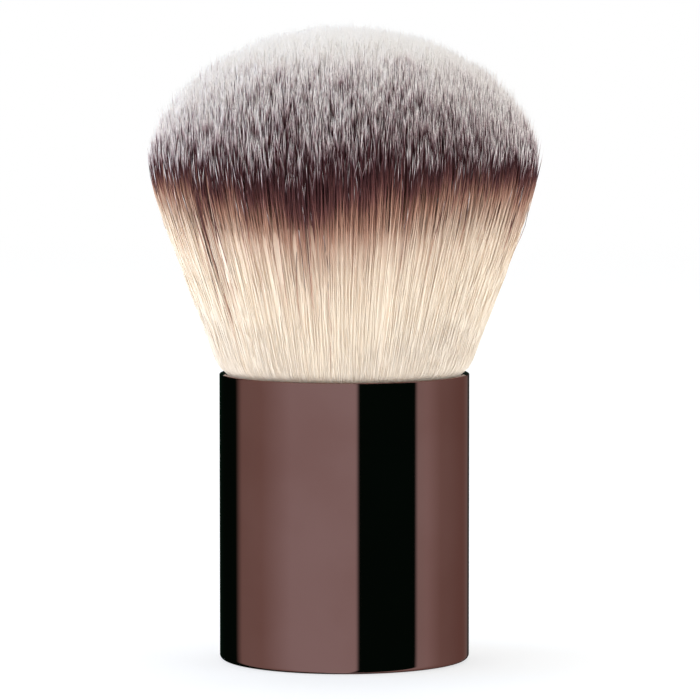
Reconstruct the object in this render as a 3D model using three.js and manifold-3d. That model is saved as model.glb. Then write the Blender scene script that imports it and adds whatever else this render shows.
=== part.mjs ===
// A short powder brush with one domed head: a weighted metal handle and a glued bundle of dyed bristles.
// Millimetres, +Z up along the brush, origin at the centre of the flat base.
import * as THREE from 'three';
import { mergeVertices } from 'three/addons/utils/BufferGeometryUtils.js';
import Module from 'manifold-3d';

// Handle shell: a drawn metal cup
const handleDiameter = 32;
const handleHeight = 36.7;
const shellWall = 0.8;
const shellFloor = 1;
const baseRound = 1;

// Ballast that keeps the brush standing
const padDiameter = 22;
const padThickness = 1;
const weightDiameter = 25;
const weightHeight = 10;
const weightChamfer = 0.6;
const weightSlack = 0.2;
const weightHeadroom = 0.3;

// Moulded core that fills the shell, holds the weight down and seats the ferrule cup
const coreSlack = 0.3;
const coreWeb = 2;
const socketWall = 1.2;
const ribCount = 6;
const ribWidth = 0.8;
const ribLift = 1.5;
const ribSlack = 0.12;

// Adhesive beads, each in a groove of the core
const grooveDepth = 0.6;
const grooveHeight = 3;
const shellGrooveLift = 3;
const cupGrooveDrop = 4;
const glueSlack = 0.1;

// Ferrule cup that the bristle roots are set in
const cupWall = 0.5;
const cupSlack = 0.2;
const cupLip = 0.7;
const cupSetback = 4;
const lipSlack = 0.1;

// Cured resin round the roots
const plugHeight = 6;
const plugFloor = 1.5;
const plugWall = 0.6;
const plugSlack = 0.1;

// Tie wound round the bundle above the resin
const cordDiameter = 0.9;
const cordPitch = 1.1;
const cordTurns = 3;
const cordSlack = 0.3;

// Bristle bundle, as it stands out of the handle
const headDiameter = 50.5;
const headHeight = 44.2;
const shoulderHeight = 26.3;
const shoulderStraight = 1.8;
const rimBulge = 1.5;
const rimBulgeHeight = 1.7;
const rootSlack = 0.2;
const rimSlack = 0.3;

// Where the bundle bends: each ball-shaped parting has its centre on the axis, at a height from the rim
const neckPivot = -6;
const neckEdge = 4;
const headPivot = 6;
const headEdge = 18;
const flexGap = 0.3;

// Facets of the turned pieces, and of the cord's section in half a circle
const turnFacets = 40;
const arcSteps = 4;
const smallArcSteps = 2;
const cordHalfFacets = 4;
const cordStepsPerTurn = 20;
const weldDistance = 1e-3;

// Fits that follow from the sizes above
const shellRadius = handleDiameter / 2;
const shellBore = shellRadius - shellWall;
const padTop = shellFloor + padThickness;
const weightTop = padTop + weightHeight;
const weightRadius = weightDiameter / 2;
const webBottom = weightTop + weightHeadroom;
const webTop = webBottom + coreWeb;
const coreRadius = shellBore - coreSlack;
const socketRadius = coreRadius - socketWall;
const cupRadius = socketRadius - cupSlack;
const cupBore = cupRadius - cupWall;
const cupTop = handleHeight - cupSetback;
const coreTop = cupTop - cupWall - lipSlack;
const plugBottom = webTop + cupWall;
const plugTop = plugBottom + plugHeight;
const plugSeat = plugBottom + plugFloor;
const plugRadius = cupBore - plugSlack;
const plugBore = plugRadius - plugWall;
const rootRadius = cupBore - rootSlack;
const cordPathRadius = rootRadius - cordDiameter / 2;
const waistRadius = cordPathRadius - cordDiameter / 2 - cordSlack;
const waistBottom = plugTop + cordSlack;
const waistTop = waistBottom + cordTurns * cordPitch + cordDiameter + 2 * cordSlack;
const rimRadius = shellBore - rimSlack;
const headRadius = headDiameter / 2;

const finishes = {
  metal: { color: 0x7a5653, roughness: 0.12, metalness: 1 },
  foam: { color: 0x2c2c2e, roughness: 0.9, metalness: 0 },
  steel: { color: 0x8d8f92, roughness: 0.35, metalness: 1 },
  plastic: { color: 0x1d1c1d, roughness: 0.5, metalness: 0 },
  glue: { color: 0xd8cfae, roughness: 0.3, metalness: 0 },
  tin: { color: 0xc3c5c8, roughness: 0.3, metalness: 1 },
  cord: { color: 0xe9e4d8, roughness: 0.8, metalness: 0 },
  cream: { color: 0xe9d5bd, roughness: 0.6, metalness: 0 },
  brown: { color: 0x6f4a44, roughness: 0.6, metalness: 0 },
};

function piece(name, geometry, finish) {
  const mesh = new THREE.Mesh(geometry, new THREE.MeshStandardMaterial(finish));
  mesh.name = name;
  return mesh;
}

// Turns an outline of (radius, height), drawn from its foot outwards and up, about the Z axis.
function turned(outline, steps = arcSteps) {
  const geometry = new THREE.LatheGeometry(outline.getPoints(steps), turnFacets);
  return geometry.rotateX(Math.PI / 2);
}

// The outline of a plain ring.
function ringOutline(innerRadius, outerRadius, bottom, top) {
  const outline = new THREE.Path();
  outline.moveTo(innerRadius, bottom);
  outline.lineTo(outerRadius, bottom);
  outline.lineTo(outerRadius, top);
  outline.lineTo(innerRadius, top);
  outline.lineTo(innerRadius, bottom);
  return outline;
}

const wasm = await Module();
wasm.setup();

// A closed geometry as a solid that can be joined to others.
function solid(geometry) {
  const bare = geometry.clone();
  bare.deleteAttribute('normal');
  bare.deleteAttribute('uv');
  const merged = mergeVertices(bare, weldDistance);
  const vertProperties = new Float32Array(merged.attributes.position.array);
  const triVerts = new Uint32Array(merged.index.array);
  return new wasm.Manifold(new wasm.Mesh({ numProp: 3, vertProperties, triVerts }));
}

function geometryOf(joined) {
  const { vertProperties, triVerts } = joined.getMesh();
  const geometry = new THREE.BufferGeometry();
  geometry.setAttribute('position', new THREE.BufferAttribute(vertProperties, 3));
  geometry.setIndex(new THREE.BufferAttribute(triVerts, 1));
  return geometry;
}

// Radius of the bundle's side at a height above the rim.
// The side runs straight from the bulge over the rim to the shoulder.
function flareRadius(height) {
  const topOfFlare = shoulderHeight - shoulderStraight;
  const along = (height - rimBulgeHeight) / (topOfFlare - rimBulgeHeight);
  return THREE.MathUtils.lerp(rimRadius + rimBulge, headRadius, along);
}

// A ball-shaped parting across the bundle.
// Its centre is on the axis, and its radius and angle are those of its edge at the bundle's side.
function parting(pivotHeight, edgeHeight) {
  const edgeRadius = flareRadius(edgeHeight);
  const rise = edgeHeight - pivotHeight;
  return {
    centre: handleHeight + pivotHeight,
    radius: Math.hypot(edgeRadius, rise),
    angle: Math.atan2(rise, edgeRadius),
  };
}

const neckParting = parting(neckPivot, neckEdge);
const headParting = parting(headPivot, headEdge);

// The underside of a bristle solid, from the axis out to its side.
function partingUnder(outline, { centre, radius, angle }) {
  outline.absarc(0, centre, radius, Math.PI / 2, angle, true);
}

// The top of the bristle solid below, a gap lower, from its side in to the axis.
function partingTop(outline, { centre, radius, angle }) {
  outline.absarc(0, centre, radius - flexGap, angle, Math.PI / 2, false);
}

function handleShell() {
  const rimHalf = shellWall / 2;
  const outline = new THREE.Path();
  outline.moveTo(0, 0);
  outline.lineTo(shellRadius - baseRound, 0);
  outline.absarc(shellRadius - baseRound, baseRound, baseRound, -Math.PI / 2, 0, false);
  outline.absarc(shellRadius - rimHalf, handleHeight - rimHalf, rimHalf, 0, Math.PI, false);
  outline.lineTo(shellBore, shellFloor);
  outline.lineTo(0, shellFloor);
  return piece('handle_shell', turned(outline, smallArcSteps), finishes.metal);
}

function floorPad() {
  const outline = new THREE.Path();
  outline.moveTo(0, shellFloor);
  outline.lineTo(padDiameter / 2, shellFloor);
  outline.lineTo(padDiameter / 2, padTop);
  outline.lineTo(0, padTop);
  return piece('floor_pad', turned(outline), finishes.foam);
}

function ballastWeight() {
  const outline = new THREE.Path();
  outline.moveTo(0, padTop);
  outline.lineTo(weightRadius - weightChamfer, padTop);
  outline.lineTo(weightRadius, padTop + weightChamfer);
  outline.lineTo(weightRadius, weightTop - weightChamfer);
  outline.lineTo(weightRadius - weightChamfer, weightTop);
  outline.lineTo(0, weightTop);
  return piece('ballast_weight', turned(outline), finishes.steel);
}

// Heights of the two glue grooves: the outer one above the web, the inner one below the mouth of the socket.
const shellGroove = { bottom: webTop + shellGrooveLift, top: webTop + shellGrooveLift + grooveHeight };
const cupGroove = { bottom: coreTop - cupGrooveDrop - grooveHeight, top: coreTop - cupGrooveDrop };

function coreSleeve() {
  const skirtBore = weightRadius + weightSlack;
  const outline = new THREE.Path();
  outline.moveTo(0, webBottom);
  outline.lineTo(skirtBore, webBottom);
  outline.lineTo(skirtBore, shellFloor);
  outline.lineTo(coreRadius, shellFloor);
  outline.lineTo(coreRadius, shellGroove.bottom);
  outline.lineTo(coreRadius - grooveDepth, shellGroove.bottom);
  outline.lineTo(coreRadius - grooveDepth, shellGroove.top);
  outline.lineTo(coreRadius, shellGroove.top);
  outline.lineTo(coreRadius, coreTop);
  outline.lineTo(socketRadius, coreTop);
  outline.lineTo(socketRadius, cupGroove.top);
  outline.lineTo(socketRadius + grooveDepth, cupGroove.top);
  outline.lineTo(socketRadius + grooveDepth, cupGroove.bottom);
  outline.lineTo(socketRadius, cupGroove.bottom);
  outline.lineTo(socketRadius, webTop);
  outline.lineTo(0, webTop);

  // Upright ribs round the skirt centre the core in the shell.
  const ribReach = shellBore - ribSlack;
  const ribHeight = webBottom - shellFloor - ribLift;
  const ribDepth = ribReach - (skirtBore + coreRadius) / 2;
  let core = solid(turned(outline));
  for (let i = 0; i < ribCount; i++) {
    const rib = new THREE.BoxGeometry(ribDepth, ribWidth, ribHeight);
    rib.translate(ribReach - ribDepth / 2, 0, shellFloor + ribLift + ribHeight / 2);
    rib.rotateZ((2 * Math.PI * i) / ribCount);
    core = core.add(solid(rib));
  }
  return piece('core_sleeve', geometryOf(core), finishes.plastic);
}

function shellGlueRing() {
  const innerRadius = coreRadius - grooveDepth + glueSlack;
  const outerRadius = shellBore - glueSlack;
  const bottom = shellGroove.bottom + glueSlack;
  const top = shellGroove.top - glueSlack;
  const ring = ringOutline(innerRadius, outerRadius, bottom, top);
  return piece('shell_glue_ring', turned(ring), finishes.glue);
}

function cupGlueRing() {
  const innerRadius = cupRadius + glueSlack;
  const outerRadius = socketRadius + grooveDepth - glueSlack;
  const bottom = cupGroove.bottom + glueSlack;
  const top = cupGroove.top - glueSlack;
  const ring = ringOutline(innerRadius, outerRadius, bottom, top);
  return piece('cup_glue_ring', turned(ring), finishes.glue);
}

function ferruleCup() {
  const outline = new THREE.Path();
  outline.moveTo(0, webTop);
  outline.lineTo(cupRadius, webTop);
  outline.lineTo(cupRadius, cupTop - cupWall);
  outline.lineTo(cupRadius + cupLip, cupTop - cupWall);
  outline.lineTo(cupRadius + cupLip, cupTop);
  outline.lineTo(cupBore, cupTop);
  outline.lineTo(cupBore, plugBottom);
  outline.lineTo(0, plugBottom);
  return piece('ferrule_cup', turned(outline), finishes.tin);
}

function rootPlug() {
  const outline = new THREE.Path();
  outline.moveTo(0, plugBottom);
  outline.lineTo(plugRadius, plugBottom);
  outline.lineTo(plugRadius, plugTop);
  outline.lineTo(plugBore, plugTop);
  outline.lineTo(plugBore, plugSeat);
  outline.lineTo(0, plugSeat);
  return piece('root_plug', turned(outline), finishes.glue);
}

// A helix about the Z axis that climbs one pitch a turn.
class Helix extends THREE.Curve {
  constructor(radius, pitch, turns, bottom) {
    super();
    Object.assign(this, { radius, pitch, turns, bottom });
  }

  getPoint(t, target = new THREE.Vector3()) {
    const turn = 2 * Math.PI * this.turns * t;
    const height = this.bottom + this.pitch * this.turns * t;
    return target.set(this.radius * Math.cos(turn), this.radius * Math.sin(turn), height);
  }
}

function bindingCord() {
  const section = new THREE.Shape();
  section.absarc(0, 0, cordDiameter / 2, 0, 2 * Math.PI, false);
  const bottom = waistBottom + cordSlack + cordDiameter / 2;
  const geometry = new THREE.ExtrudeGeometry(section, {
    curveSegments: cordHalfFacets,
    steps: cordTurns * cordStepsPerTurn,
    bevelEnabled: false,
    extrudePath: new Helix(cordPathRadius, cordPitch, cordTurns, bottom),
  });
  return piece('binding_cord', geometry, finishes.cord);
}

function bristleRoot() {
  const spigotRadius = plugBore - rootSlack;
  const outline = new THREE.Path();
  outline.moveTo(0, plugSeat);
  outline.lineTo(spigotRadius, plugSeat);
  outline.lineTo(spigotRadius, waistBottom);
  outline.lineTo(waistRadius, waistBottom);
  outline.lineTo(waistRadius, waistTop);
  outline.lineTo(rootRadius, waistTop);
  outline.lineTo(rootRadius, cupTop);
  outline.lineTo(rimRadius, handleHeight);
  outline.lineTo(rimRadius + rimBulge, handleHeight + rimBulgeHeight);
  partingTop(outline, neckParting);
  return piece('bristle_root', turned(outline), finishes.cream);
}

function bristleNeck() {
  const outline = new THREE.Path();
  partingUnder(outline, neckParting);
  partingTop(outline, headParting);
  return piece('bristle_neck', turned(outline), finishes.cream);
}

function bristleHead() {
  const domeHeight = headHeight - shoulderHeight;
  const outline = new THREE.Path();
  partingUnder(outline, headParting);
  outline.lineTo(headRadius, handleHeight + shoulderHeight - shoulderStraight);
  outline.absellipse(0, handleHeight + shoulderHeight, headRadius, domeHeight, 0, Math.PI / 2, false, 0);
  return piece('bristle_head', turned(outline), finishes.brown);
}

const brush = new THREE.Group();
brush.name = 'powder_brush';
brush.add(
  handleShell(),
  floorPad(),
  ballastWeight(),
  coreSleeve(),
  shellGlueRing(),
  cupGlueRing(),
  ferruleCup(),
  rootPlug(),
  bindingCord(),
  bristleRoot(),
  bristleNeck(),
  bristleHead(),
);

export default brush;
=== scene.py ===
"""A short domed powder brush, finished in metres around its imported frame.

The handle is a lacquered metal cup. The head is a bundle of dyed bristles, modelled one by one.
"""

from __future__ import annotations

import logging
import math
from dataclasses import dataclass
from enum import Enum
from functools import cached_property
from typing import Any, Mapping, Sequence, Union

import bpy
import numpy as np
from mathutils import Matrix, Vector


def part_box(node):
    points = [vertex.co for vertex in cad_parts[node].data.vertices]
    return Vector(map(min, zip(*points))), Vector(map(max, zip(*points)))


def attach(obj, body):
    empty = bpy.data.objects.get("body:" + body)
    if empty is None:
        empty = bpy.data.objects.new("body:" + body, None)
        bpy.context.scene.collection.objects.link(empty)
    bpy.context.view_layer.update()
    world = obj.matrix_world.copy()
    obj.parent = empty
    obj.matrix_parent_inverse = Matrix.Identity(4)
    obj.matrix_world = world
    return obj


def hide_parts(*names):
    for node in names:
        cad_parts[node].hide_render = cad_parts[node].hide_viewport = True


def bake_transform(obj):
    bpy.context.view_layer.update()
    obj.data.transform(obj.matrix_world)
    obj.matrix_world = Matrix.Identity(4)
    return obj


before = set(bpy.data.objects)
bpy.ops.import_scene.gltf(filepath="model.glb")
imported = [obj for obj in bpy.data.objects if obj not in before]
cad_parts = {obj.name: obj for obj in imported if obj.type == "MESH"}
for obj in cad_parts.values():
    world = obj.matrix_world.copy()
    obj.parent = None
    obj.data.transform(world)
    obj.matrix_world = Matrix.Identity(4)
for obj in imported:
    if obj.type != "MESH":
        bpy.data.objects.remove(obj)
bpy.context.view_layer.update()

MM = 0.001
BAKE_MAP = "OFBake"

Colour = tuple[float, float, float]
Range = tuple[float, float]
Link = Union["Value", bpy.types.NodeSocket, float, Sequence[float]]

log = logging.getLogger("powder_brush")


class Body(Enum):
    """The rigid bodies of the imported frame."""

    HANDLE = "handle"
    NECK = "neck"
    HEAD = "head"


class Slot(Enum):
    """The record's material slots."""

    HANDLE_METAL = "handle_metal"
    SHAFTS = "bristle_shafts"
    TIPS = "bristle_tips"


def opaque(colour: Colour) -> tuple[float, float, float, float]:
    """A colour with full alpha, as colour sockets take it."""
    return (*colour, 1.0)


def grey(level: float) -> tuple[float, float, float, float]:
    """An opaque grey, as colour sockets take it."""
    return opaque((level, level, level))


class Value:
    """A number on a node's socket, so that shader maths reads as Python."""

    def __init__(self, sheet: NodeSheet, socket: bpy.types.NodeSocket) -> None:
        """Wraps one output socket of a sheet."""
        self.sheet = sheet
        self.socket = socket

    def _maths(self, operation: str, first: Link, second: Link) -> Value:
        """Adds one Math node and wraps its output."""
        return self.sheet.value("ShaderNodeMath", {"operation": operation}, {0: first, 1: second})

    def __add__(self, other: Link) -> Value:
        """Sum."""
        return self._maths("ADD", self, other)

    def __radd__(self, other: Link) -> Value:
        """Sum, reflected."""
        return self._maths("ADD", other, self)

    def __sub__(self, other: Link) -> Value:
        """Difference."""
        return self._maths("SUBTRACT", self, other)

    def __rsub__(self, other: Link) -> Value:
        """Difference, reflected."""
        return self._maths("SUBTRACT", other, self)

    def __mul__(self, other: Link) -> Value:
        """Product."""
        return self._maths("MULTIPLY", self, other)

    def __rmul__(self, other: Link) -> Value:
        """Product, reflected."""
        return self._maths("MULTIPLY", other, self)

    def __truediv__(self, other: Link) -> Value:
        """Quotient."""
        return self._maths("DIVIDE", self, other)

    def floor(self) -> Value:
        """The whole number below."""
        return self._maths("FLOOR", self, 0.0)

    def larger(self, other: Link) -> Value:
        """The larger of two."""
        return self._maths("MAXIMUM", self, other)

    def angle(self, other: Link) -> Value:
        """The angle whose tangent is this over the other, in radians."""
        return self._maths("ARCTAN2", self, other)

    def ease(self, low: float, high: float) -> Value:
        """Goes smoothly from 0 at low to 1 at high."""
        settings = {"interpolation_type": "SMOOTHSTEP"}
        return self.sheet.value("ShaderNodeMapRange", settings, {0: self, 1: low, 2: high})


class NodeSheet:
    """A node tree that is filled by expressions."""

    def __init__(self, tree: bpy.types.NodeTree) -> None:
        """Starts from an empty tree."""
        self.tree = tree
        tree.nodes.clear()

    @classmethod
    def of_material(cls, name: str) -> tuple[bpy.types.Material, NodeSheet]:
        """Makes a material that uses nodes.

        Args:
            name: The material's name.

        Returns:
            The material and its empty sheet.
        """
        material = bpy.data.materials.new(name)
        material.use_nodes = True
        return material, cls(material.node_tree)

    def node(self, kind: str, settings: Mapping[str, Any], inputs: Mapping[Any, Link]) -> bpy.types.Node:
        """Adds a node.

        Args:
            kind: Blender's name for the type of node.
            settings: The node's own settings, set first. Under stops are a ramp's (place, colour) pairs.
            inputs: Socket name or number to a plain value or a link.

        Returns:
            The new node.
        """
        made = self.tree.nodes.new(kind)
        for key, setting in settings.items():
            if key == "stops":
                self._fill_ramp(made.color_ramp, setting)
            else:
                setattr(made, key, setting)
        for key, given in inputs.items():
            source = given.socket if isinstance(given, Value) else given
            if isinstance(source, bpy.types.NodeSocket):
                self.tree.links.new(source, made.inputs[key])
            else:
                made.inputs[key].default_value = source
        return made

    @staticmethod
    def _fill_ramp(ramp: bpy.types.ColorRamp, stops: Sequence[tuple[float, Colour]]) -> None:
        """Puts stops on a ramp that starts with two.

        Args:
            ramp: The ramp of a new node.
            stops: Places from 0 to 1, rising, and their colours.
        """
        while len(ramp.elements) < len(stops):
            ramp.elements.new(1.0)
        for element, (place, colour) in zip(ramp.elements, stops):
            element.position = place
            element.color = opaque(colour)

    def value(
        self, kind: str, settings: Mapping[str, Any], inputs: Mapping[Any, Link], out: Any = 0
    ) -> Value:
        """Adds a node and wraps one of its outputs."""
        return Value(self, self.node(kind, settings, inputs).outputs[out])

    def place(self) -> bpy.types.NodeSocket:
        """The point on the piece, in the object's own frame."""
        return self.node("ShaderNodeTexCoord", {}, {}).outputs["Object"]

    def parts(self, vector: Link) -> tuple[Value, Value, Value]:
        """The three parts of a vector."""
        made = self.node("ShaderNodeSeparateXYZ", {}, {0: vector})
        return Value(self, made.outputs[0]), Value(self, made.outputs[1]), Value(self, made.outputs[2])

    def vector(self, operation: str, *given: Link) -> bpy.types.NodeSocket:
        """The vector that one Vector Math node makes."""
        inputs = dict(enumerate(given))
        return self.node("ShaderNodeVectorMath", {"operation": operation}, inputs).outputs[0]

    def noise(self, vector: Link, scale: float, detail: float = 2.0) -> Value:
        """Soft noise from 0 to 1."""
        return self.value("ShaderNodeTexNoise", {}, {"Vector": vector, "Scale": scale, "Detail": detail})

    def mix(self, share: Link, first: Link, second: Link, how: str = "MIX") -> bpy.types.NodeSocket:
        """Mixes two colours.

        Args:
            share: How much of the second colour.
            first: The colour at share 0.
            second: The colour at share 1.
            how: Blender's blend type.

        Returns:
            The mixed colour's socket.
        """
        settings = {"data_type": "RGBA", "blend_type": how}
        return self.node("ShaderNodeMix", settings, {0: share, 6: first, 7: second}).outputs[2]

    def bump(self, height: Link, strength: float, distance: float) -> bpy.types.NodeSocket:
        """A normal that is tilted by a height."""
        inputs = {"Strength": strength, "Distance": distance, "Height": height}
        return self.node("ShaderNodeBump", {}, inputs).outputs[0]

    def surface(self, **sockets: Link) -> None:
        """Ends the sheet in a Principled shader.

        Args:
            sockets: Socket names, with underscores for spaces, and their values or links.
        """
        named = {name.replace("_", " "): given for name, given in sockets.items()}
        shader = self.node("ShaderNodeBsdfPrincipled", {}, named)
        self.node("ShaderNodeOutputMaterial", {}, {"Surface": shader.outputs[0]})


@dataclass(frozen=True)
class HandleLacquer:
    """Polished brown lacquer on metal, with faint finger marks."""

    colour: Colour = (0.235, 0.125, 0.116)
    deep_colour: Colour = (0.215, 0.108, 0.098)
    deep_range: Range = (0.35, 0.7)
    edge_tint: Colour = (0.55, 0.36, 0.33)
    roughness: float = 0.045
    smudge_roughness: float = 0.05
    smudge_scale: float = 70.0
    smudge_range: Range = (0.55, 0.8)
    mark_scale: float = 280.0
    mark_rise: float = 0.25
    mark_range: Range = (0.4, 0.7)
    coat: float = 0.35
    coat_roughness: float = 0.03

    def material(self) -> bpy.types.Material:
        """Builds the finish.

        Returns:
            A metallic material: noise darkens it a little and dulls it in patches.
        """
        material, sheet = NodeSheet.of_material("handle_lacquer")
        place = sheet.place()
        clouds = sheet.noise(place, self.smudge_scale, detail=3.0)
        drawn_out = sheet.vector("MULTIPLY", place, (1.0, 1.0, self.mark_rise))
        marks = sheet.noise(drawn_out, self.mark_scale, detail=4.0)
        deep = clouds.ease(*self.deep_range)
        smudge = clouds.ease(*self.smudge_range) * marks.ease(*self.mark_range)
        sheet.surface(
            Base_Color=sheet.mix(deep, opaque(self.colour), opaque(self.deep_colour)),
            Metallic=1.0,
            Roughness=self.roughness + self.smudge_roughness * smudge,
            Specular_Tint=opaque(self.edge_tint),
            Coat_Weight=self.coat,
            Coat_Roughness=self.coat_roughness,
        )
        return material


@dataclass(frozen=True)
class DyeStop:
    """The bristle's colour at one distance from its tip."""

    distance: float
    colour: Colour


@dataclass(frozen=True)
class BristleDye:
    """Cream bristles with a dark dipped band, pale tips, and a painted shade that greys the roots.

    The piece's own map holds a shade column across and the distance from the tip up, so that the
    colour follows the bristle.
    """

    span: float = 32.0 * MM
    columns: int = 48
    roughness: float = 0.42
    specular: float = 0.22
    light_shade: float = 1.03
    dark_shade: float = 0.94
    stops: tuple[DyeStop, ...] = (
        DyeStop(0.0 * MM, (0.94, 0.89, 0.84)),
        DyeStop(0.8 * MM, (0.885, 0.81, 0.77)),
        DyeStop(1.5 * MM, (0.42, 0.29, 0.295)),
        DyeStop(2.3 * MM, (0.062, 0.018, 0.022)),
        DyeStop(3.6 * MM, (0.08, 0.025, 0.026)),
        DyeStop(4.9 * MM, (0.175, 0.061, 0.054)),
        DyeStop(6.4 * MM, (0.335, 0.155, 0.109)),
        DyeStop(8.1 * MM, (0.485, 0.26, 0.178)),
        DyeStop(9.9 * MM, (0.585, 0.375, 0.27)),
        DyeStop(11.8 * MM, (0.70, 0.515, 0.385)),
        DyeStop(14.4 * MM, (0.84, 0.675, 0.52)),
        DyeStop(18.5 * MM, (0.905, 0.755, 0.595)),
        DyeStop(23.0 * MM, (0.885, 0.745, 0.59)),
        # Painted shade: this last stop greys the roots, as if shaded just above the handle's rim.
        DyeStop(26.5 * MM, (0.845, 0.715, 0.58)),
    )

    def ramp(self, sheet: NodeSheet, along: Link) -> bpy.types.NodeSocket:
        """The dye's colour at a distance from the tip, given as a share of the span."""
        stops = [(stop.distance / self.span, stop.colour) for stop in self.stops]
        return sheet.node("ShaderNodeValToRGB", {"stops": stops}, {0: along}).outputs[0]

    def material(self) -> bpy.types.Material:
        """Builds the finish.

        Returns:
            A satin material: a ramp over the distance from the tip, with a random shade for each column.
        """
        material, sheet = NodeSheet.of_material("bristle_dye")
        mapped = sheet.node("ShaderNodeUVMap", {"uv_map": BAKE_MAP}, {}).outputs[0]
        across, along, _ = sheet.parts(mapped)
        dyed = self.ramp(sheet, along)
        column = (across * float(self.columns)).floor()
        level = sheet.value("ShaderNodeTexWhiteNoise", {"noise_dimensions": "1D"}, {"W": column})
        shade = sheet.mix(level, grey(self.dark_shade), grey(self.light_shade))
        sheet.surface(
            Base_Color=sheet.mix(1.0, dyed, shade, "MULTIPLY"),
            Roughness=self.roughness,
            Specular_IOR_Level=self.specular,
        )
        return material


@dataclass(frozen=True)
class BundleCoreFinish:
    """The packed bristles inside the bundle, dyed as the outermost ones are, with fine upright grooves of
    painted shade.
    """

    field: BristleField
    dye: BristleDye
    roughness: float = 0.8
    streak_scale: float = 90.0
    streak_rise: float = 1.5
    light_shade: float = 1.02
    # Painted shade: the level that the dye is darkened to in the grooves between the packed bristles.
    groove_painted_shade: float = 0.91
    groove_range: Range = (0.4, 0.6)
    groove_strength: float = 0.4
    groove_depth: float = 0.1 * MM

    def material(self) -> bpy.types.Material:
        """Builds the finish.

        Returns:
            A matt material. The dye is read at the distance below the outermost tips, lowered at the
            front and back by the band's main wave. Streaks that are fine round the axis and long in height
            darken it in their grooves as painted shade, and tilt it by a bump.
        """
        material, sheet = NodeSheet.of_material("bristle_core")
        shape, band, span = self.field.shape, self.field.band, self.dye.span
        place = sheet.place()
        x, y, z = sheet.parts(place)
        lobes = (y * y - x * x) / (x * x + y * y)
        tips = shape.rim + shape.outer_tips + band.level
        along = tips / span - z * (1.0 / span) - lobes * (band.wave / span)
        dyed = self.dye.ramp(sheet, along.larger(band.dark_floor / span))
        outward = sheet.vector("NORMALIZE", sheet.vector("MULTIPLY", place, (1.0, 1.0, 0.0)))
        upward = sheet.vector("MULTIPLY", place, (0.0, 0.0, self.streak_rise))
        streak = sheet.noise(sheet.vector("ADD", outward, upward), self.streak_scale)
        # Painted shade: where the streak is low, in the grooves between the packed bristles, the dye is
        # darkened.
        between = streak.ease(*self.groove_range)
        shade = sheet.mix(between, grey(self.groove_painted_shade), grey(self.light_shade))
        sheet.surface(
            Base_Color=sheet.mix(1.0, dyed, shade, "MULTIPLY"),
            Roughness=self.roughness,
            Normal=sheet.bump(streak, self.groove_strength, self.groove_depth),
        )
        return material


class Grain(Enum):
    """How a hidden piece's surface is worked: its grain along X, Y and Z."""

    EVEN = (1.0, 1.0, 1.0)
    UPRIGHT = (1.0, 1.0, 0.08)
    LEVEL = (0.08, 0.08, 1.0)


@dataclass(frozen=True)
class InnerFinish:
    """The finish of a piece inside the handle: two tones, a grain and a little bump."""

    name: str
    colour: Colour
    second: Colour
    metallic: float
    roughness: float
    grain: Grain
    grain_scale: float
    bump: float
    bump_depth: float = 0.1 * MM
    dulling: float = 0.15

    def material(self) -> bpy.types.Material:
        """Builds the finish.

        Returns:
            A material whose tone, roughness and bump follow one noise, drawn out along the grain.
        """
        material, sheet = NodeSheet.of_material(self.name)
        drawn_out = sheet.vector("MULTIPLY", sheet.place(), self.grain.value)
        worked = sheet.noise(drawn_out, self.grain_scale, detail=3.0)
        sheet.surface(
            Base_Color=sheet.mix(worked, opaque(self.colour), opaque(self.second)),
            Metallic=self.metallic,
            Roughness=self.roughness + self.dulling * worked,
            Normal=sheet.bump(worked, self.bump, self.bump_depth),
        )
        return material


def put_mesh(
    name: str,
    points: np.ndarray,
    faces: Sequence[np.ndarray],
    material: bpy.types.Material,
) -> bpy.types.Object:
    """Makes an object at the origin from whole arrays.

    Args:
        name: The piece's name.
        points: One row of x, y, z for each vertex.
        faces: Arrays of vertex numbers, one row for each face; each array has faces of one size.
        material: The piece's finish.

    Returns:
        The object, smooth shaded, in the scene.
    """
    corners = np.concatenate([part.ravel() for part in faces]).astype(np.int32)
    sizes = np.concatenate([np.full(len(part), part.shape[1]) for part in faces])
    starts = np.concatenate([[0], np.cumsum(sizes)[:-1]]).astype(np.int32)
    mesh = bpy.data.meshes.new(name)
    mesh.vertices.add(len(points))
    mesh.vertices.foreach_set("co", points.astype(np.float32).ravel())
    mesh.loops.add(len(corners))
    mesh.loops.foreach_set("vertex_index", corners)
    mesh.polygons.add(len(starts))
    mesh.polygons.foreach_set("loop_start", starts)
    mesh.polygons.foreach_set("use_smooth", np.ones(len(starts), dtype=bool))
    mesh.update(calc_edges=True)
    mesh.validate()
    mesh.materials.append(material)
    made = bpy.data.objects.new(name, mesh)
    bpy.context.scene.collection.objects.link(made)
    log.info("%s: %d faces", name, len(starts))
    return made


def arc(centre: tuple[float, float], radius: float, start: float, end: float, steps: int) -> np.ndarray:
    """Points on a circular arc, in radius and height.

    Args:
        centre: The arc's centre.
        radius: The arc's radius.
        start: The first angle, in degrees from the outward direction.
        end: The last angle.
        steps: How many chords.

    Returns:
        Rows of (centre + radius * cosine, centre + radius * sine).
    """
    turn = np.radians(np.linspace(start, end, steps + 1))
    return np.stack([centre[0] + radius * np.cos(turn), centre[1] + radius * np.sin(turn)], axis=1)


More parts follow.
